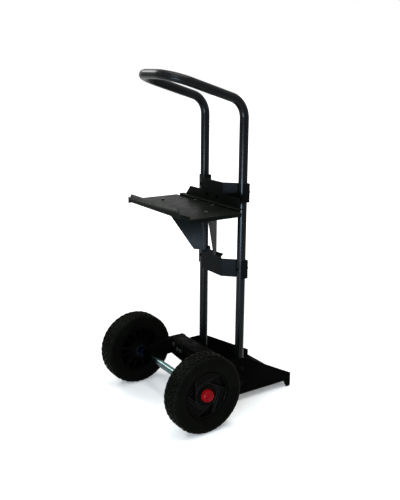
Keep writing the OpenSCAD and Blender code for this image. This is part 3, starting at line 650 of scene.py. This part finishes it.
def buildTyre(side, label, s):
    mid = side * (tyreHigh.x + tyreLow.x) / 2
    half, height = tyreWidth / 2, tyreRadius - s["rimRadius"]
    profile = []
    for x, y in smoothLine(s["flank"], 4):
        r = s["rimRadius"] + y * height
        lift = s["lineHeight"] * sum(max(0, 1 - abs(r - at) / wide) for at, wide in s["lines"])
        profile.append((x * half + lift, r))
    whole = [(mid + x, r) for x, r in profile] + [(mid - x, r) for x, r in reversed(profile[:-1])]
    bm = bmesh.new()
    turned(bm, whole, s["carcassSides"])
    bmesh.ops.recalc_face_normals(bm, faces=bm.faces)
    carcass = makeObject("carcass" + label, toMesh(bm, "carcass", 60), "tyreRubber")
    parts = [carcass]
    for i, row in enumerate(s["rows"]):
        for flip in ((0,) if row[0] == 0 else (0, 1)):
            bm = treadBlock(row, s)
            if flip:
                bmesh.ops.transform(bm, matrix=Matrix.Rotation(pi, 4, "Z"), verts=bm.verts)
            mesh = toMesh(bm, "block", 20)
            step = 2 * pi / s["treadCount"]
            parts.append(repeat(roundAxle, "tread%d%d%s" % (i, flip, label), "tyreRubber", mesh, {
                "Count": s["treadCount"], "Wobble": s["treadWobble"],
                "Start Angle": step * (row[7] + (s["otherSideTurn"] if flip else 0)),
                "Axle Centre": (mid, axleY, axleZ)}))
    tyre = joined("tyre" + label, parts, "tyreRubber")
    hang(tyre, "wheel_" + label.lower(), "tyre_rubber", "tyre_" + label.lower())


rimSettings = {
    "face": 0.232, "ringInner": 0.0717, "arms": 3,
    # lips: angle of the arm's edge, the radius it springs from and its own thickness
    "lips": ((32, 0.0370, 0.0016), (76, 0.0370, 0.0016), (76, 0.0442, 0.0016)),
    "lipStart": (46, 38, 30, 22, 15, 8), "lipTip": (0.3, 0.8),
    # rings: radius and thickness
    "rings": ((0.0385, 0.0012), (0.0722, 0.0015)),
    "backRibs": 12, "ribTurn": 0.26, "ribDepth": 0.030, "ribThickness": 0.0022,
    "ribMiddle": 0.0515, "ribLength": 0.0435, "ribTaper": 0.004, "ribPlace": 0.205,
}


def buildRim(side, label, s):
    node = "rim_" + label.lower()
    rim = softened(node, "rimShell" + label, "blackRimPlastic", 0.0009, 0, 3, 30)
    bm = bmesh.new()
    # raised lips that run along both edges of every swept arm
    for k in range(s["arms"]):
        for a, root, size in s["lips"]:
            angle = radians(a + 360 / s["arms"] * k)
            out = Vector((cos(angle), sin(angle)))
            along = Vector((sin(angle), -cos(angle)))
            far = (s["ringInner"] ** 2 - root ** 2) ** 0.5
            # round the hub first, then straight out along the arm's edge
            flat = [root * Vector((cos(angle + t), sin(angle + t))) for t in
                    (radians(d) for d in s["lipStart"])]
            flat += [out * root + along * far * t / 10 for t in range(11)]
            points = [Vector((s["face"], axleY + p.y, axleZ - p.x)) for p in flat]
            rings = sweepRings(bm, points, size, 10, (1, 0, 0))
            for share, ring, middle in zip(s["lipTip"], rings, points):
                for v in ring:
                    v.co = middle + (v.co - middle) * share
            for one, two in zip(rings, rings[1:]):
                skin(bm, one, two)
            bm.faces.new(rings[0])
            bm.faces.new(rings[-1])
    # a raised ring round the hub and one where the arms meet the outer ring
    for radius, size in s["rings"]:
        section = [(s["face"] + size * cos(t), radius + size * sin(t))
                   for t in (2 * pi * k / 10 for k in range(10))]
        turned(bm, section, 96)
    bmesh.ops.recalc_face_normals(bm, faces=bm.faces)
    if side < 0:
        mirrored(bm)
    # all lip faces are marked as rubbed edges, so they take a lighter colour all along: a painted
    # glint
    markEdges(bm, bm.faces)
    lips = makeObject("rimLips" + label, toMesh(bm, "rimLips", 50), "glossyRimLipPaintedGlint")
    # thin ribs behind the disc
    bm = bmesh.new()
    bmesh.ops.create_cube(bm, size=1)
    for v in bm.verts:
        v.co = Vector((v.co.x * s["ribDepth"], v.co.y * s["ribThickness"],
                       s["ribMiddle"] + v.co.z * s["ribLength"]))
        if v.co.x < 0 and v.co.z > s["ribMiddle"]:
            v.co.x += s["ribTaper"]
    ribs = repeat(roundAxle, "rimRibs" + label, "blackRimPlastic", toMesh(bm, "rib", 20), {
        "Count": s["backRibs"], "Start Angle": s["ribTurn"], "Wobble": 0.0,
        "Axle Centre": (side * s["ribPlace"], axleY, axleZ)})
    if side < 0:
        bm = bmesh.new()
        bm.from_mesh(ribs.data)
        across = Matrix.Translation((2 * s["ribPlace"], 0, 0))  # to the side it is mirrored from
        bmesh.ops.transform(bm, matrix=across, verts=bm.verts)
        mirrored(bm)
        bm.to_mesh(ribs.data)
        bm.free()
    hang(rim, "wheel_" + label.lower(), "rim_plastic", node)
    for piece in (lips, ribs):
        hang(piece, "wheel_" + label.lower(), "rim_plastic")


# outline: share of the cap's radius and depth below its top, from its rim to its middle;
# then the stretches of the radius painted a lighter red, painted highlights on the cap's rings
capSettings = {"outline": ((0.940, 0.0062), (0.865, 0.0036), (0.785, 0.0021), (0.765, 0.0016),
                           (0.730, 0.0026), (0.661, 0.0026), (0.626, 0.0011), (0.487, 0.0007),
                           (0.452, 0.0018), (0.391, 0.0018), (0.357, 0.0003), (0.174, 0.0),
                           (0.018, 0.0)),
               "wearAndGlint": ((0.46, 0.51), (0.74, 0.78)), "sides": 72}


def buildCap(side, label, s):
    low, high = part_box("hub_cap_right")
    radius, base, top = (high.z - low.z) / 2, low.x, high.x
    outline = [(base, radius - 0.0016), (base, radius), (base + 0.0022, radius),
               (base + 0.0034, radius - 0.0009)]
    outline += [(top - depth, share * radius) for share, depth in s["outline"]]
    inner = [(top - 0.0030, 0.0004), (top - 0.0040, radius - 0.0066),
             (top - 0.0070, radius - 0.0028)]
    bm = bmesh.new()
    turned(bm, outline + inner, s["sides"])
    bmesh.ops.remove_doubles(bm, verts=bm.verts, dist=1e-6)
    bmesh.ops.recalc_face_normals(bm, faces=bm.faces)
    # faces in those stretches are marked to take the lighter red: painted highlights on the rings
    layer = bm.loops.layers.float.new("edge")
    for face in bm.faces:
        r = hypot(*(face.calc_center_median().yz - Vector((axleY, axleZ))))
        if any(a < r / radius < b for a, b in s["wearAndGlint"]):
            for loop in face.loops:
                loop[layer] = 1.0
    if side < 0:
        mirrored(bm)
    cap = makeObject("hubCap" + label, toMesh(bm, "hubCap", 40), "redCapPlastic")
    hang(cap, "wheel_" + label.lower(), "red_cap", "hub_cap_" + label.lower())


for side, label in ((1, "Right"), (-1, "Left")):
    buildTyre(side, label, wheelSettings)
    buildRim(side, label, rimSettings)
    buildCap(side, label, capSettings)
print("wheels built")


# The lowest and highest corner of every separate solid in a node, always in the same order
def solidBoxes(node):
    bm = bmesh.new()
    bm.from_mesh(cadNodes[node].data)
    bmesh.ops.remove_doubles(bm, verts=bm.verts, dist=pressSettings["sameSpot"])
    left, boxes = set(bm.verts), []
    while left:
        front, found = [left.pop()], []
        while front:
            v = front.pop()
            found.append(v.co.copy())
            for e in v.link_edges:
                other = e.other_vert(v)
                if other in left:
                    left.remove(other)
                    front.append(other)
        boxes.append([Vector(f(c[i] for c in found) for i in range(3)) for f in (min, max)])
    bm.free()
    return sorted(boxes, key=lambda box: [round(c, 5) for c in box[0]])


def ringAt(bm, z, radii):
    count = len(radii)
    return [bm.verts.new((r * cos(2 * pi * k / count), r * sin(2 * pi * k / count), z))
            for k, r in enumerate(radii)]


def stack(bm, rings, capped=(True, True)):
    for a, b in zip(rings, rings[1:]):
        skin(bm, a, b)
    if capped[0]:
        bm.faces.new(list(reversed(rings[0])))
    if capped[1]:
        bm.faces.new(rings[-1])


def hexRadii(flats):
    return [flats / 2 / cos(radians(15 * k % 60 - 30)) for k in range(24)]


# root and near end of a thread as shares of its radius
threadSettings = {"pitch": 0.0011, "root": 0.87, "end": 0.78, "endLength": 0.0007, "sides": 16}


def threaded(bm, radius, z0, z1, s):
    def circle(z, share):
        return ringAt(bm, z, [radius * share] * s["sides"])
    rings, z = [], z0
    while z < z1 - s["pitch"]:
        rings += [circle(z, 1), circle(z + s["pitch"] / 2, s["root"])]
        z += s["pitch"]
    rings += [circle(z1 - s["endLength"], 1), circle(z1, s["end"])]
    stack(bm, rings)


# radii as shares of the width over flats: chamfer and the two rings of the seat under a head;
# then the slope of the chamfer and the gap between head and thread
headSettings = {"chamfer": 0.475, "seat": (0.485, 0.49), "seatHeight": (0.0004, 0.0005),
                "boltSlope": 0.55, "nutSlope": 0.5, "dish": 0.7, "dishDepth": 0.0002,
                "washer": 0.62, "threadGap": 0.00005}


# head up along +Z from the face that the bolt clamps, thread below it
def hexBolt(radius, flats, head, length, s):
    bm = bmesh.new()
    side = hexRadii(flats)
    rim = flats * s["chamfer"]
    seat, low = s["seat"], s["seatHeight"]
    rings = [ringAt(bm, 0.0, [flats * seat[0]] * 24), ringAt(bm, low[0], [flats * seat[1]] * 24),
             ringAt(bm, low[1], side), ringAt(bm, head, side), ringAt(bm, head, [rim] * 24)]
    for v, r in zip(rings[3], side):
        v.co.z = head - (r - rim) * s["boltSlope"]
    rings.append(ringAt(bm, head - s["dishDepth"], [rim * s["dish"]] * 24))
    stack(bm, rings)
    threaded(bm, radius, -length, -s["threadGap"], threadSettings)
    bmesh.ops.recalc_face_normals(bm, faces=bm.faces)
    return toMesh(bm, "hexBolt", 24)


def roundHeadBolt(radius, head, wide, length, s):
    bm = bmesh.new()
    rings = [ringAt(bm, 0, [wide] * 32)]
    for t in (0.12, 0.4, 0.7, 0.92):
        rise, reach = sin(t * pi / 2) ** 0.9, cos(t * pi / 2) ** 0.55
        rings.append(ringAt(bm, head * rise, [wide * reach] * 32))
    rings.append(ringAt(bm, head, [wide * 0.2] * 32))
    stack(bm, rings)
    threaded(bm, radius, -length, -s["threadGap"], threadSettings)
    bmesh.ops.recalc_face_normals(bm, faces=bm.faces)
    return toMesh(bm, "roundHeadBolt", 40)


# washer on the face at z = 0, chamfered nut above it, both with their bore
def hexNut(radius, flats, high, washer, s):
    bm = bmesh.new()
    bore = [radius + 0.0001] * 24
    disc, rim = flats * s["washer"], flats * s["chamfer"]
    rings = [ringAt(bm, 0.0, bore), ringAt(bm, 0.0, [disc - 0.0002] * 24),
             ringAt(bm, 0.0002, [disc] * 24), ringAt(bm, washer - 0.0003, [disc] * 24),
             ringAt(bm, washer, [disc - 0.0003] * 24), ringAt(bm, washer, [rim] * 24)]
    side = hexRadii(flats)
    low, top = ringAt(bm, washer, side), ringAt(bm, washer + high, side)
    for ring, sign in ((low, 1), (top, -1)):
        for v, r in zip(ring, side):
            v.co.z += sign * (r - rim) * s["nutSlope"]
    rings += [low, top, ringAt(bm, washer + high, [rim] * 24),
              ringAt(bm, washer + high, [radius + 0.0006] * 24),
              ringAt(bm, washer + high - 0.0005, bore)]
    stack(bm, rings, (False, False))
    skin(bm, rings[-1], rings[0])
    bmesh.ops.recalc_face_normals(bm, faces=bm.faces)
    return toMesh(bm, "hexNut", 24)


# node: piece, finish, slot, kind, the side that its head or nut faces, and its sizes
m8 = {"radius": 0.004, "flats": 0.013, "washer": 0.0012, "roundHead": 0.009}
m6 = {"radius": 0.003, "flats": 0.010, "washer": 0.0012}
ways = {"-Y": (0, -1, 0), "+Y": (0, 1, 0), "+Z": (0, 0, 1), "-Z": (0, 0, -1)}
fasteners = {
    "foot_bolts": ("footBolts", "blackBoltFinish", "black_fastener", "round", "outX", m8, 0.0026),
    "foot_nuts": ("footNuts", "blackBoltFinish", "black_fastener", "nut", "inX", m8, 0.0065),
    "beam_bolts": ("beamBolts", "dullZincBolts", "zinc_fastener", "bolt", "-Y", m8, 0.0053),
    "beam_nuts": ("beamNuts", "zincBolts", "zinc_fastener", "nut", "+Y", m8, 0.0065),
    "bracket_bolts": ("bracketBolts", "dullZincBolts", "zinc_fastener", "bolt", "-Y", m8, 0.0053),
    "bracket_nuts": ("bracketNuts", "zincBolts", "zinc_fastener", "nut", "+Y", m8, 0.0065),
    "cradle_bolts": ("cradleBolts", "blackBoltFinish", "black_fastener", "bolt", "-Y", m6, 0.004),
    "cradle_nuts": ("cradleNuts", "blackBoltFinish", "black_fastener", "nut", "+Y", m6, 0.005),
    "shelf_bolts": ("shelfBolts", "dullZincBolts", "zinc_fastener", "bolt", "+Z", m6, 0.004),
    "shelf_nuts": ("shelfNuts", "zincBolts", "zinc_fastener", "nut", "-Z", m6, 0.005),
    "back_bolts": ("backBolts", "blackBoltFinish", "black_fastener", "bolt", "-Y", m6, 0.004),
    "back_nuts": ("backNuts", "blackBoltFinish", "black_fastener", "nut", "+Y", m6, 0.005),
}


def placeFasteners(node, name, finish, slot, kind, faces, size, high, seed):
    seats, facing, length = [], [], 0
    for low, up in solidBoxes(node):
        centre = (low + up) / 2
        if faces.endswith("X"):
            sign = (1 if centre.x > 0 else -1) * (1 if faces == "outX" else -1)
            way = Vector((sign, 0, 0))
        else:
            way = Vector(ways[faces])
        axis = max(range(3), key=lambda i: abs(way[i]))
        end = up[axis] if way[axis] > 0 else low[axis]
        tall = high + size["washer"] if kind == "nut" else high
        seat = centre.copy()
        seat[axis] = end - way[axis] * tall
        seats.append(seat)
        facing.append(way)
        length = up[axis] - low[axis] - high
    mesh = bpy.data.meshes.new(name)
    mesh.from_pydata(seats, [], [])
    layer = mesh.attributes.new("facing", "FLOAT_VECTOR", "POINT")
    for i, way in enumerate(facing):
        layer.data[i].vector = way
    if kind == "nut":
        part = hexNut(size["radius"], size["flats"], high, size["washer"], headSettings)
    elif kind == "round":
        part = roundHeadBolt(size["radius"], high, size["roundHead"], length, headSettings)
    else:
        part = hexBolt(size["radius"], size["flats"], high, length, headSettings)
    obj = repeat(onPoints, name, finish, part, {"Spin": radians(60), "Seed": seed}, mesh)
    hang(obj, "frame", slot, node)


for seed, (node, values) in enumerate(fasteners.items()):
    placeFasteners(node, *values, seed)
print("fasteners placed:", len(fasteners))

stageSettings = {"floorSize": 40.0, "floorColour": (0.80, 0.80, 0.80), "floorGlow": 0.20,
                 "floorDrop": 0.0004, "farFrom": 0.9, "farTo": 2.6, "ambient": 0.62}
lamps = {
    # name: place, target, width, height, power, tint and how widely it fans out in degrees
    "farSideSoftbox": ((-2.5, -1.0, 2.5), (0, 0, 0.5), 1.3, 1.1, 52, (0.97, 1.0, 0.95), 180),
    "overheadSoftbox": ((0.45, 0.0, 3.0), (0, 0, 0.4), 1.8, 1.8, 52, (0.98, 1.0, 0.94), 180),
    "lowFrontSoftbox": ((0.96, -1.42, 0.31), (0, 0.06, 0.56), 0.8, 0.46, 6.2, (0.62, 0.80, 1.0),
                        64),
    "cameraSideFill": ((1.7, -1.9, 2.2), (0, 0, 0.6), 1.2, 1.2, 30, (0.80, 0.90, 1.0), 180),
}


def buildStage(s):
    world = bpy.data.worlds.new("paleRoom")
    world.use_nodes = True
    tree = world.node_tree
    tree.nodes.clear()
    path = tree.nodes.new("ShaderNodeLightPath").outputs
    seen = math(tree, "MAXIMUM", path["Is Camera Ray"],
                math(tree, "MAXIMUM", path["Is Glossy Ray"], path["Is Transmission Ray"]))
    strength = remap(tree, seen, 0, 1, s["ambient"], 1.0)
    sky = addNode(tree, "ShaderNodeBackground", {"Color": (1, 1, 1, 1), "Strength": strength})
    addNode(tree, "ShaderNodeOutputWorld", {0: sky.outputs[0]})
    scene.world = world

    floorMaterial = bpy.data.materials.new("paleFloor")
    floorMaterial.use_nodes = True
    tree = floorMaterial.node_tree
    tree.nodes.clear()
    path = tree.nodes.new("ShaderNodeLightPath").outputs
    place = addNode(tree, "ShaderNodeTexCoord").outputs["Object"]
    reach = addNode(tree, "ShaderNodeVectorMath", {0: place}, operation="LENGTH").outputs["Value"]
    glowing = remap(tree, reach, s["farFrom"], s["farTo"], s["floorGlow"], 1.0)
    paint = addNode(tree, "ShaderNodeBsdfDiffuse", {"Color": (*s["floorColour"], 1)}).outputs[0]
    glow = addNode(tree, "ShaderNodeEmission", {
        "Strength": math(tree, "MULTIPLY", path["Is Camera Ray"], glowing)}).outputs[0]
    both = addNode(tree, "ShaderNodeAddShader", {0: paint, 1: glow}).outputs[0]
    addNode(tree, "ShaderNodeOutputMaterial", {0: both})
    half, low = s["floorSize"] / 2, -s["floorDrop"]
    mesh = bpy.data.meshes.new("paleFloor")
    mesh.from_pydata([(-half, -half, low), (half, -half, low), (half, half, low),
                      (-half, half, low)], [], [(0, 1, 2, 3)])
    mesh.materials.append(floorMaterial)
    floor = bpy.data.objects.new("paleFloor", mesh)
    scene.collection.objects.link(floor)


def addLamp(name, place, target, width, height, power, tint, fan):
    data = bpy.data.lights.new(name, "AREA")
    data.shape = "RECTANGLE"
    data.size, data.size_y, data.energy, data.color = width, height, power, tint
    data.spread = radians(fan)
    lamp = bpy.data.objects.new(name, data)
    way = Vector(target) - Vector(place)
    turn = way.to_track_quat("-Z", "Y").to_matrix().to_4x4()
    lamp.matrix_world = Matrix.Translation(place) @ turn
    lamp.visible_camera = False
    scene.collection.objects.link(lamp)


buildStage(stageSettings)
for name, values in lamps.items():
    addLamp(name, *values)
scene.view_settings.view_transform = "Standard"
print("stage lit")
